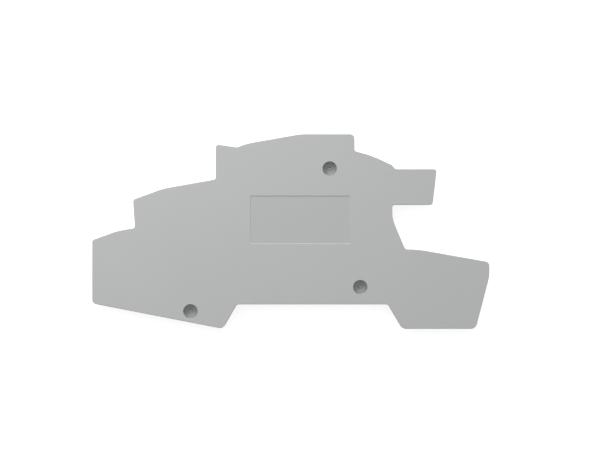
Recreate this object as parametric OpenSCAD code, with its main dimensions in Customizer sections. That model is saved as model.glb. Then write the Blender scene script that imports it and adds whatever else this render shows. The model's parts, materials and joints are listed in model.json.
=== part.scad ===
// End cover for a stepped, three-level DIN rail terminal block: a one-piece moulded plate.
// The outline is drawn about the rail: X = 0 is the rail's centre line, and Y = 0 is the upper edge
// of the notch that clears the rail. The part is then moved so that its origin is the middle of its
// bounding box, at the peg tips. +Z points out of the outer face. Millimetres and degrees.

/* [Plate] */
// Thickness between the inner and the outer face
plate_t = 2.2; // [2:0.1:3.5]
// Bevel round the outer face's edge
edge_break = 0.1; // [0.1:0.05:0.3]

/* [Rail notch and feet] */
// Width of the rail notch at its upper edge
notch_w = 37.8; // [36:0.1:39]
// How far the feet reach down beside the rail
foot_depth = 6.1; // [5:0.1:7]
// Steepness of the feet's inner sides
foot_slope = 60; // [55:1:70]
// Rise of the left foot's underside, outwards
left_foot_slope = 11; // [7:0.5:13]
// Rail centre to the right foot's outer lower corner
right_foot_x = 40.8; // [39:0.1:42.5]

/* [Left side, lower tier] */
// Rail centre to the left end
left_reach = 55.1; // [53:0.1:60]
// Rail centre to the wall that rises from the lower tier
lower_wall_x = 44.4; // [42:0.1:45.5]
// Height of the lower tier at that wall
lower_tier_h = 19.15; // [16:0.05:21]
// Length of the lower tier's gently falling stretch
lower_tier_run = 4.5; // [3:0.1:6]

/* [Left side, middle tier] */
// Rail centre to the middle tier's outer corner
middle_reach = 44.9; // [43:0.1:47]
// Rail centre to the wall that rises from the middle tier
middle_wall_x = 24.2; // [23:0.1:27]
// Height of the middle tier at that wall
middle_tier_h = 31.3; // [29:0.1:33]
// Length of the middle tier's gently falling stretch
middle_tier_run = 13.1; // [10:0.1:15]

/* [Top] */
// Height of the level top
top_h = 42.6; // [41.5:0.1:46]
// Rail centre to the level top's left end
top_left_x = 3; // [1:0.1:6]
// Rail centre to the level top's right end
top_right_x = 10.5; // [9:0.1:12]
// Length of the gently falling stretch left of the level top
top_run = 13.3; // [11:0.1:14]
// Length of the steep drop from there to the marker land
marker_drop_run = 2.6; // [2:0.1:4]
// Rise of the marker land towards its outer corner
marker_slope = 8; // [4:0.5:12]

/* [Slopes of the tier tops] */
// Fall of a tier's inner stretch
gentle_slope = 10; // [6:0.5:12]
// Fall of its outer, lead-in stretch
steep_slope = 20; // [16:0.5:24]

/* [Right side, tier and neck] */
// Rail centre to the right end
right_reach = 44.25; // [43:0.05:46]
// Height of the right end's lower corner
right_end_low = 7.1; // [6:0.1:8]
// Height of the right tier's level stretch
right_tier_h = 13.75; // [13:0.05:15]
// Rail centre to the end of that level stretch
right_level_x = 26.4; // [25.5:0.1:28]
// Rail centre to the root of the riser above it
riser_x = 23.2; // [22:0.1:24]
// Rail centre to the neck under the arm
neck_x = 19.95; // [18.5:0.05:21]
// Height of the neck's lower end
neck_low = 21.35; // [20:0.05:22.5]

/* [Right side, arm and shoulder] */
// Height of the arm's underside
arm_low = 24.9; // [24:0.1:27]
// Height of the arm's top
arm_top = 33.85; // [32:0.05:34.2]
// Rail centre to the arm's lower corner
arm_low_x = 30; // [28:0.1:34]
// Rail centre to the arm's upper corner
arm_top_x = 31.1; // [28.5:0.1:35]
// Height of the shoulder's upper end
shoulder_h = 38.4; // [38:0.1:40]
// Rail centre to the middle of the shoulder
shoulder_mid_x = 15.1; // [14:0.1:16]
// Rail centre to the shoulder's lower end
shoulder_low_x = 19.9; // [19:0.1:20.5]
// Fall of the shoulder's upper half
shoulder_slope_up = 15.7; // [14:0.1:18]
// Fall of the shoulder's lower half
shoulder_slope_low = 25.1; // [23:0.1:27]
// Steepness of the small step from the shoulder to the arm
step_slope = 50; // [45:1:70]

/* [Roundings of the outline] */
// Lower corners of the feet
foot_r = 1.55; // [1:0.05:2.5]
// Corners of the two ends and of the top, and the riser's root
end_r = 1.15; // [0.6:0.05:1.6]
// Inner corners of the rail notch
notch_r = 1; // [0.5:0.05:1.5]
// Outer corners of the tiers, the marker land and the arm
tip_r = 0.7; // [0.45:0.05:1]
// Inner corners at the roots of the walls
nook_r = 0.6; // [0.4:0.05:0.9]
// Bend between the gentle and the steep stretch of a tier
knee_r = 8; // [4:1:12]
// Long soft bends of the shoulder and the right tier
sweep_r = 15; // [8:1:25]

/* [Marking field] */
// Length of the recessed field
field_w = 25; // [16:0.5:27]
// Height of the recessed field
field_h = 12; // [6:0.5:13]
// Depth of the recessed field
field_depth = 0.1; // [0.1:0.05:0.5]
// Field centre, left of the rail centre
field_x = 3.05; // [1:0.05:5]
// Height of the field centre
field_y = 21.15; // [20:0.05:22]
// How far the field's side walls lean out over their depth
field_draft = 0.05; // [0.05:0.05:0.4]

/* [Sockets and pegs] */
// Socket under the top: right of the rail centre, and below the top
top_spot = [4.3, 8.65]; // [3:0.05:9.5]
// Socket over the notch: right of the rail centre, and above the notch
right_spot = [11.95, 4.3]; // [3:0.05:12]
// Socket over the left foot: outwards from the foot's tip, and above it
left_spot = [8.1, 4.35]; // [4:0.05:9]
// Diameter of the sockets in the outer face
socket_d = 3.6; // [3:0.1:4]
// Depth of the sockets
socket_depth = 1.8; // [1.2:0.1:1.8]
// Diameter of the conical centre mark in a socket's floor
mark_d = 1.1; // [0.6:0.1:1.5]
// Depth of that mark
mark_depth = 0.2; // [0.1:0.05:0.3]
// How much thicker a peg is than a socket, for its press fit
peg_grip = 0.04; // [0:0.02:0.1]
// Room left between a peg's tip and the floor of the socket it is pressed into
peg_gap = 0.3; // [0.05:0.05:0.4]
// Lead-in bevel at a peg's tip
peg_bevel = 0.3; // [0.1:0.05:0.5]

/* [Hidden] */
$fn = 64;
arc_step = 10;  // the roundings turn by no more than this from one point to the next
over = 0.1;  // how far a cutter runs past the surface that it opens

peg_d = socket_d + peg_grip;
peg_l = socket_depth - peg_gap;
inner_z = peg_l;
outer_z = inner_z + plate_t;

// The point dx along from p on a line that climbs at the given angle
function along(p, dx, angle) = [p.x + dx, p.y + dx * tan(angle)];

left_tip = [-notch_w / 2 - foot_depth / tan(foot_slope), -foot_depth];
left_end_low = along(left_tip, -left_reach - left_tip.x, -left_foot_slope);
lower_knee = along([-lower_wall_x, lower_tier_h], -lower_tier_run, gentle_slope);
lower_end = along(lower_knee, -left_reach - lower_knee.x, steep_slope);
middle_knee = along([-middle_wall_x, middle_tier_h], -middle_tier_run, gentle_slope);
middle_end = along(middle_knee, -middle_reach - middle_knee.x, steep_slope);
top_knee = along([-top_left_x, top_h], -top_run, gentle_slope);
marker_root = along(top_knee, -marker_drop_run, steep_slope);
marker_end = along(marker_root, -middle_wall_x - marker_root.x, -marker_slope);
right_end_top = along([right_level_x, right_tier_h], right_reach - right_level_x, -gentle_slope);
shoulder_mid = along([top_right_x, shoulder_h], shoulder_mid_x - top_right_x, -shoulder_slope_up);
shoulder_low = along(shoulder_mid, shoulder_low_x - shoulder_mid_x, -shoulder_slope_low);
step_low = [shoulder_low.x + (shoulder_low.y - arm_top) / tan(step_slope), arm_top];

// Centres of the sockets, each with its peg behind it
SPOTS = [
    [top_spot.x, top_h - top_spot.y],
    right_spot,
    [left_tip.x - left_spot.x, left_tip.y + left_spot.y]
];

// Corners of the outline, anticlockwise from the left end, each with its rounding
CORNERS = [
    [left_end_low, end_r], [left_tip, foot_r],
    [[-notch_w / 2, 0], notch_r], [[notch_w / 2, 0], notch_r],
    [[-left_tip.x, -foot_depth], foot_r], [[right_foot_x, -foot_depth], foot_r],
    [[right_reach, right_end_low], knee_r], [right_end_top, end_r],
    [[right_level_x, right_tier_h], sweep_r], [[riser_x, right_tier_h], end_r],
    [[neck_x, neck_low], knee_r], [[neck_x, arm_low], nook_r],
    [[arm_low_x, arm_low], tip_r], [[arm_top_x, arm_top], tip_r],
    [step_low, tip_r], [shoulder_low, tip_r], [shoulder_mid, sweep_r],
    [[top_right_x, shoulder_h], nook_r], [[top_right_x, top_h], end_r],
    [[-top_left_x, top_h], knee_r], [top_knee, knee_r],
    [marker_root, tip_r], [marker_end, tip_r],
    [[-middle_wall_x, middle_tier_h], nook_r], [middle_knee, knee_r], [middle_end, tip_r],
    [[-lower_wall_x, lower_tier_h], nook_r], [lower_knee, knee_r], [lower_end, tip_r]
];
COUNT = len(CORNERS);

function corner(i) = CORNERS[(i + COUNT) % COUNT][0];
function unit(v) = v / norm(v);
function heading(v) = atan2(v.y, v.x);
function ray(angle) = [cos(angle), sin(angle)];

// How far the outline turns at a corner: above 0 where it juts out, below 0 in a nook
function turn(i) =
    let (a = unit(corner(i) - corner(i - 1)), b = unit(corner(i + 1) - corner(i)))
    atan2(a.x * b.y - a.y * b.x, a * b);

// Centre of the arc that rounds a corner
function arc_centre(i) =
    let (
        r = CORNERS[i][1],
        along_in = unit(corner(i) - corner(i - 1)),
        setback = r * tan(abs(turn(i)) / 2)
    )
    corner(i) - setback * along_in + r * sign(turn(i)) * [-along_in.y, along_in.x];

// The outline with its roundings, moved inwards by inset
function outline(inset = 0) = [
    for (i = [0:COUNT - 1])
        let (
            side = sign(turn(i)),
            steps = ceil(abs(turn(i)) / arc_step),
            start = heading(corner(i) - corner(i - 1)) - 90 * side
        )
        for (k = [0:steps])
            arc_centre(i) + (CORNERS[i][1] - side * inset) * ray(start + turn(i) * k / steps)
];

// Lifts a flat list of points to height z
function lift(points, z) = [for (p = points) [p.x, p.y, z]];

// The bevel's cutter: a closed ring of three sides round the outer face's edge
module edge_cutter() {
    rings = [
        lift(outline(edge_break + over), over),
        lift(outline(-over), -edge_break - over),
        lift(outline(-over), over)
    ];
    n = len(rings[0]);
    polyhedron(
        [for (ring = rings) each ring],
        [for (j = [0:2]) for (k = [0:n - 1])
            let (l = (k + 1) % n, m = (j + 1) % 3)
            [j * n + k, m * n + k, m * n + l, j * n + l]]
    );
}

module plate() {
    difference() {
        translate([0, 0, inner_z]) linear_extrude(plate_t) polygon(outline());
        translate([0, 0, outer_z]) edge_cutter();
    }
}

// The marking field's cutter: two crossed prisms, so that all four sides lean out
module field_recess() {
    module prism(size, length) {
        half = size / 2;
        rise = field_draft * over / field_depth;
        linear_extrude(length, center = true) polygon([
            [-half + field_draft, -field_depth], [half - field_draft, -field_depth],
            [half + rise, over], [-half - rise, over]
        ]);
    }
    translate([-field_x, field_y, outer_z]) intersection() {
        rotate([90, 0, 0]) prism(field_w, 2 * field_h);
        rotate([90, 0, 90]) prism(field_h, 2 * field_w);
    }
}

module socket() {
    translate([0, 0, outer_z - socket_depth]) cylinder(d = socket_d, h = socket_depth + over);
    translate([0, 0, outer_z - socket_depth - mark_depth])
        cylinder(d1 = 0, d2 = mark_d, h = mark_depth);
}

module peg() {
    cylinder(d1 = peg_d - 2 * peg_bevel, d2 = peg_d, h = peg_bevel);
    translate([0, 0, peg_bevel]) cylinder(d = peg_d, h = peg_l - peg_bevel);
}

module end_cover() {
    color("#b5b7b6")
    translate([(left_reach - right_reach) / 2, (foot_depth - top_h) / 2, 0]) {
        difference() {
            plate();
            field_recess();
            for (spot = SPOTS) translate(spot) socket();
        }
        for (spot = SPOTS) translate(spot) peg();
    }
}

end_cover();
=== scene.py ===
"""Looks of the end cover: the moulded plate with its softened edges, its plastic, and a light studio."""

import json
import math

import bmesh
import bpy
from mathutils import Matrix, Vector


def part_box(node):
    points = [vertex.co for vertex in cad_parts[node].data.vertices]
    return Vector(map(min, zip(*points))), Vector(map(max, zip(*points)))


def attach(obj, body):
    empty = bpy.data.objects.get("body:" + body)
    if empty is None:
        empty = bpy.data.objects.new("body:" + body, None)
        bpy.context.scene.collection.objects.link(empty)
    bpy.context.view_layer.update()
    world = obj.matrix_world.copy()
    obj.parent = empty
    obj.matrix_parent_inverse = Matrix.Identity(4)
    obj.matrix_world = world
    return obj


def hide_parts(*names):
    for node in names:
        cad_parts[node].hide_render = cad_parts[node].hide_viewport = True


MM = 0.001

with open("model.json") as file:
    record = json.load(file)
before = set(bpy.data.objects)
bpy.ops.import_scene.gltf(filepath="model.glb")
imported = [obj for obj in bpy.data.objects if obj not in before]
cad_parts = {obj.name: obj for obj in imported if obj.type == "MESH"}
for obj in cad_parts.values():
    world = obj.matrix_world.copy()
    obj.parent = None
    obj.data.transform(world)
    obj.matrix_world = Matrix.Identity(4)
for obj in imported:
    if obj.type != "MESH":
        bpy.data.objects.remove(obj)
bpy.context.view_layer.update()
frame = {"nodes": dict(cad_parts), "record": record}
COVER_LOW, COVER_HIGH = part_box("end_cover")
COVER_MIDDLE = (COVER_LOW + COVER_HIGH) / 2
OUTER_FACE_Z = COVER_HIGH.z

# Moulding
WELD = 0.001 * MM  # corners of neighbouring faces closer than this are one corner
FLAT_ANGLE = math.radians(0.5)  # faces that meet more flatly than this are one face
EDGE_ANGLE = math.radians(24)  # edges that turn more than this are softened
EDGE_SOFTNESS = 0.03 * MM
EDGE_STEPS = 2
FACE_UP = 0.9  # a face whose normal climbs more than this looks up
LARGE_FACE_WEIGHT = 100  # over 50, a large face sets the shading at corners that it shares with small ones

# Pips that the mould's pins leave in the middle of the sockets' floors, where the solid has conical marks
MARK_LEAST_DEPTH = 1.81 * MM  # under the outer face
MARK_MOST_DEPTH = 2.1 * MM
PIP_HEIGHT = 0.25 * MM
PIP_TAPER = 0.27 * MM  # from the pip's foot in to its flat top

# Marking field: its floor lies between these depths under the outer face
FIELD_LEAST_DEPTH = 0.07 * MM
FIELD_MOST_DEPTH = 0.6 * MM

SOCKET_SLACK = 0.01 * MM  # how far past a socket's own radius and length its faces are looked for

# Plastic: a light and a dark tone, how rough it is, and how deep its grain is. The mould's insert leaves the
# field smoother than the rest, and its polished pins leave the sockets smoother still. The sockets' tones
# are
# darker still: painted shade, which deepens the shade on the sockets' floors.
OUTER_FINISH = ((0.490, 0.501, 0.495), (0.470, 0.481, 0.474), 0.62, 0.02 * MM)
FIELD_FINISH = ((0.470, 0.481, 0.475), (0.450, 0.461, 0.454), 0.58, 0.012 * MM)
# the sockets' darker tones are painted shade
SOCKET_FINISH_AND_PAINTED_SHADE = ((0.453, 0.463, 0.457), (0.434, 0.444, 0.438), 0.45, 0.008 * MM)
PLASTIC_IOR = 1.53
PLASTIC_SPECULAR = 0.4
CLOUD_SCALE = 55.0  # clouds of tone about 20 mm across
FLECK_SCALE = 1400.0
FLECK_SHARE = 0.35  # of the tone, beside the clouds
ROUGHNESS_SPREAD = 0.05
GRAIN_SCALE = 6500.0
GRAIN_ROUGHNESS = 0.6
GRAIN_STRENGTH = 0.55

# Camera: straight above the outer face, with the rail side of the cover at the bottom of the view
VIEW_WIDTH = 150 * MM  # what the view takes in at the outer face
VIEW_SHIFT = Vector((2.3 * MM, 1.6 * MM, 0))  # the view's middle, from the cover's
CAMERA_RISE = 400 * MM  # above the outer face
SENSOR_WIDTH = 36.0
NEAREST_SEEN = 10 * MM

# Studio
FLOOR_SIZE = 4.0
FLOOR_DROP = 0.02 * MM  # keeps the floor clear of the pegs' tips
FLOOR_WHITE = 0.62
FLOOR_GLOW = 0.8
ROOM_LIGHT = 0.43
ROOM_TILT = 0.64  # how much brighter the room is behind the cover, and darker in front
KEY_LIGHT = ((0.0, 0.60, 0.285), 0.45, 3.06)  # place and side in metres, power in watts
LEFT_LIGHT = ((-0.14, 0.16, 0.16), 0.16, 0.29)


def new_material(name):
    """A material with an empty node tree and its output node."""
    material = bpy.data.materials.new(name)
    material.use_nodes = True
    material.node_tree.nodes.clear()
    return material, material.node_tree, material.node_tree.nodes.new("ShaderNodeOutputMaterial")


def link(tree, source, target):
    tree.links.new(source, target)


def noise(tree, place, scale, detail, roughness=0.5):
    """A noise texture fixed to the piece."""
    node = tree.nodes.new("ShaderNodeTexNoise")
    node.inputs["Scale"].default_value = scale
    node.inputs["Detail"].default_value = detail
    node.inputs["Roughness"].default_value = roughness
    link(tree, place.outputs["Object"], node.inputs["Vector"])
    return node


def blend_colours(tree, factor, first, second):
    """The first colour where factor is 0, the second where it is 1."""
    node = tree.nodes.new("ShaderNodeMix")
    node.data_type = "RGBA"
    link(tree, factor, node.inputs["Factor"])
    node.inputs["A"].default_value = (*first, 1)
    node.inputs["B"].default_value = (*second, 1)
    return node.outputs["Result"]


def moulded_plastic(name, light, dark, roughness, grain_depth):
    """Light grey polyamide as a spark-eroded mould leaves it: faint clouds of tone, and a fine grain."""
    material, tree, output = new_material(name)
    surface = tree.nodes.new("ShaderNodeBsdfPrincipled")
    surface.inputs["IOR"].default_value = PLASTIC_IOR
    surface.inputs["Specular IOR Level"].default_value = PLASTIC_SPECULAR
    place = tree.nodes.new("ShaderNodeTexCoord")

    clouds = noise(tree, place, CLOUD_SCALE, 3.0)
    flecks = noise(tree, place, FLECK_SCALE, 1.0)
    tone = tree.nodes.new("ShaderNodeMath")
    tone.operation = "MULTIPLY_ADD"
    tone.inputs[1].default_value = FLECK_SHARE
    link(tree, flecks.outputs["Fac"], tone.inputs[0])
    link(tree, clouds.outputs["Fac"], tone.inputs[2])
    link(tree, blend_colours(tree, tone.outputs["Value"], dark, light), surface.inputs["Base Color"])

    shine = tree.nodes.new("ShaderNodeMapRange")
    shine.inputs["To Min"].default_value = roughness - ROUGHNESS_SPREAD
    shine.inputs["To Max"].default_value = roughness + ROUGHNESS_SPREAD
    link(tree, flecks.outputs["Fac"], shine.inputs["Value"])
    link(tree, shine.outputs["Result"], surface.inputs["Roughness"])

    grain = noise(tree, place, GRAIN_SCALE, 2.0, GRAIN_ROUGHNESS)
    bump = tree.nodes.new("ShaderNodeBump")
    bump.inputs["Strength"].default_value = GRAIN_STRENGTH
    bump.inputs["Distance"].default_value = grain_depth
    link(tree, grain.outputs["Fac"], bump.inputs["Height"])
    link(tree, bump.outputs["Normal"], surface.inputs["Normal"])
    link(tree, surface.outputs["BSDF"], output.inputs["Surface"])
    return material


def looks_up_between(normal_z, z, least_depth, most_depth):
    """Whether a face looks up and its middle lies between two depths under the outer face."""
    return normal_z > FACE_UP and least_depth < OUTER_FACE_Z - z < most_depth


def sharp_edges(shape):
    """The edges of a bmesh that turn more than EDGE_ANGLE."""
    return [edge for edge in shape.edges if edge.is_manifold and edge.calc_face_angle() > EDGE_ANGLE]


def raise_pips(shape):
    """Puts a low blunt cone in the place of each cone that is sunk in the middle of a socket's floor."""
    sunk = []
    for face in shape.faces:
        middle = face.calc_center_median()
        if looks_up_between(face.normal.z, middle.z, MARK_LEAST_DEPTH, MARK_MOST_DEPTH):
            sunk.append(face)
    bmesh.ops.delete(shape, geom=sunk, context="FACES")
    rims = [edge for edge in shape.edges if edge.is_boundary]
    feet = bmesh.ops.edgeloop_fill(shape, edges=rims)["faces"]
    bmesh.ops.inset_region(
        shape, faces=feet, thickness=PIP_TAPER, depth=PIP_HEIGHT, use_boundary=True, use_even_offset=True
    )


def softened_moulding():
    """The plate, merged from the frame's loose triangles, its hard edges rounded as a mould leaves them."""
    shape = bmesh.new()
    shape.from_mesh(frame["nodes"]["end_cover"].data)
    bmesh.ops.remove_doubles(shape, verts=shape.verts, dist=WELD)
    bmesh.ops.dissolve_limit(
        shape, angle_limit=FLAT_ANGLE, verts=shape.verts, edges=shape.edges, delimit=set()
    )
    raise_pips(shape)
    bmesh.ops.bevel(
        shape,
        geom=sharp_edges(shape),
        offset=EDGE_SOFTNESS,
        offset_type="OFFSET",
        affect="EDGES",
        segments=EDGE_STEPS,
        profile=0.5,
        material=-1,
        clamp_overlap=True,
    )
    for face in shape.faces:
        face.smooth = True
    mesh = bpy.data.meshes.new("cover_moulding")
    shape.to_mesh(mesh)
    shape.free()
    mesh.materials.clear()
    piece = bpy.data.objects.new("cover_moulding", mesh)
    bpy.context.scene.collection.objects.link(piece)
    flat_faces = piece.modifiers.new("flat faces stay flat", "WEIGHTED_NORMAL")
    flat_faces.mode = "FACE_AREA"
    flat_faces.weight = LARGE_FACE_WEIGHT
    return piece


def in_socket(place):
    """Whether a place lies in one of the sockets, which are the record's bores."""
    for mount in frame["record"]["mounts"]:
        if mount["kind"] == "bore":
            offset = place - Vector(mount["pos_m"])
            radius = mount["dims"]["r_mm"] * MM + SOCKET_SLACK
            reach = mount["dims"]["length_mm"] * MM / 2 + SOCKET_SLACK
            if offset.xy.length < radius and abs(offset.z) < reach:
                return True
    return False


def area_light(name, place, size, power):
    """A square soft light at place, turned to the middle of the cover."""
    light = bpy.data.lights.new(name, "AREA")
    light.shape = "SQUARE"
    light.size = size
    light.energy = power
    lamp = bpy.data.objects.new(name, light)
    lamp.location = place
    lamp.visible_camera = False
    lamp.rotation_euler = (COVER_MIDDLE - Vector(place)).to_track_quat("-Z", "Y").to_euler()
    bpy.context.scene.collection.objects.link(lamp)


def seen_ray(tree):
    """1 for rays by which the camera sees something, directly, in a gloss or through glass."""
    path = tree.nodes.new("ShaderNodeLightPath")
    total = path.outputs["Is Camera Ray"]
    for kind in ("Is Glossy Ray", "Is Transmission Ray"):
        either = tree.nodes.new("ShaderNodeMath")
        either.operation = "MAXIMUM"
        link(tree, total, either.inputs[0])
        link(tree, path.outputs[kind], either.inputs[1])
        total = either.outputs["Value"]
    return total


def floor_material():
    """White that shows a soft shadow, and is clear to the camera from below."""
    material, tree, output = new_material("white_floor")
    matt = tree.nodes.new("ShaderNodeBsdfDiffuse")
    matt.inputs["Color"].default_value = (FLOOR_WHITE, FLOOR_WHITE, FLOOR_WHITE, 1)
    glow = tree.nodes.new("ShaderNodeEmission")
    strength = tree.nodes.new("ShaderNodeMath")
    strength.operation = "MULTIPLY"
    strength.inputs[1].default_value = FLOOR_GLOW
    link(tree, seen_ray(tree), strength.inputs[0])
    link(tree, strength.outputs["Value"], glow.inputs["Strength"])
    both = tree.nodes.new("ShaderNodeAddShader")
    link(tree, matt.outputs["BSDF"], both.inputs[0])
    link(tree, glow.outputs["Emission"], both.inputs[1])

    side = tree.nodes.new("ShaderNodeNewGeometry")
    path = tree.nodes.new("ShaderNodeLightPath")
    from_below = tree.nodes.new("ShaderNodeMath")
    from_below.operation = "MULTIPLY"
    link(tree, side.outputs["Backfacing"], from_below.inputs[0])
    link(tree, path.outputs["Is Camera Ray"], from_below.inputs[1])
    clear = tree.nodes.new("ShaderNodeBsdfTransparent")
    choice = tree.nodes.new("ShaderNodeMixShader")
    link(tree, from_below.outputs["Value"], choice.inputs["Fac"])
    link(tree, both.outputs["Shader"], choice.inputs[1])
    link(tree, clear.outputs["BSDF"], choice.inputs[2])
    link(tree, choice.outputs["Shader"], output.inputs["Surface"])
    return material


def white_floor():
    """The floor just under the pegs' tips."""
    shape = bmesh.new()
    bmesh.ops.create_grid(shape, x_segments=1, y_segments=1, size=FLOOR_SIZE / 2)
    mesh = bpy.data.meshes.new("floor")
    shape.to_mesh(mesh)
    shape.free()
    mesh.materials.append(floor_material())
    floor = bpy.data.objects.new("floor", mesh)
    floor.location.z = COVER_LOW.z - FLOOR_DROP
    bpy.context.scene.collection.objects.link(floor)


def white_room():
    """Soft light from all round, more of it from behind the cover, and plain white to the camera."""
    world = bpy.data.worlds.new("white_room")
    world.use_nodes = True
    tree = world.node_tree
    tree.nodes.clear()
    output = tree.nodes.new("ShaderNodeOutputWorld")
    direction = tree.nodes.new("ShaderNodeTexCoord")
    parts = tree.nodes.new("ShaderNodeSeparateXYZ")
    link(tree, direction.outputs["Generated"], parts.inputs["Vector"])
    strength = tree.nodes.new("ShaderNodeMath")
    strength.operation = "MULTIPLY_ADD"
    strength.inputs[1].default_value = ROOM_LIGHT * ROOM_TILT
    strength.inputs[2].default_value = ROOM_LIGHT
    link(tree, parts.outputs["Y"], strength.inputs[0])
    lighting = tree.nodes.new("ShaderNodeBackground")
    link(tree, strength.outputs["Value"], lighting.inputs["Strength"])
    backdrop = tree.nodes.new("ShaderNodeBackground")
    choice = tree.nodes.new("ShaderNodeMixShader")
    for background in (lighting, backdrop):
        background.inputs["Color"].default_value = (1, 1, 1, 1)
    link(tree, seen_ray(tree), choice.inputs["Fac"])
    link(tree, lighting.outputs["Background"], choice.inputs[1])
    link(tree, backdrop.outputs["Background"], choice.inputs[2])
    link(tree, choice.outputs["Shader"], output.inputs["Surface"])
    bpy.context.scene.world = world


def camera_above():
    """The camera, looking straight down at the outer face."""
    data = bpy.data.cameras.new("camera")
    data.sensor_width = SENSOR_WIDTH
    data.lens = SENSOR_WIDTH * CAMERA_RISE / VIEW_WIDTH
    data.clip_start = NEAREST_SEEN
    camera = bpy.data.objects.new("camera", data)
    camera.location = (
        COVER_MIDDLE.x + VIEW_SHIFT.x,
        COVER_MIDDLE.y + VIEW_SHIFT.y,
        OUTER_FACE_Z + CAMERA_RISE,
    )
    bpy.context.scene.collection.objects.link(camera)
    bpy.context.scene.camera = camera


camera_above()
white_room()
white_floor()
area_light("key_light", *KEY_LIGHT)
area_light("left_light", *LEFT_LIGHT)

moulding = softened_moulding()
finishes = moulding.data.materials
finishes.append(moulded_plastic("outer_plastic", *OUTER_FINISH))
finishes.append(moulded_plastic("field_plastic", *FIELD_FINISH))
finishes.append(moulded_plastic("socket_plastic_painted_shade", *SOCKET_FINISH_AND_PAINTED_SHADE))
for face in moulding.data.polygons:
    if looks_up_between(face.normal.z, face.center.z, FIELD_LEAST_DEPTH, FIELD_MOST_DEPTH):
        face.material_index = finishes.find("field_plastic")
    # the socket faces take the darker tones, painted shade in the sockets
    elif in_socket(face.center):
        face.material_index = finishes.find("socket_plastic_painted_shade")
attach(moulding, "root")
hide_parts("end_cover")

bpy.context.scene.view_settings.view_transform = "Standard"
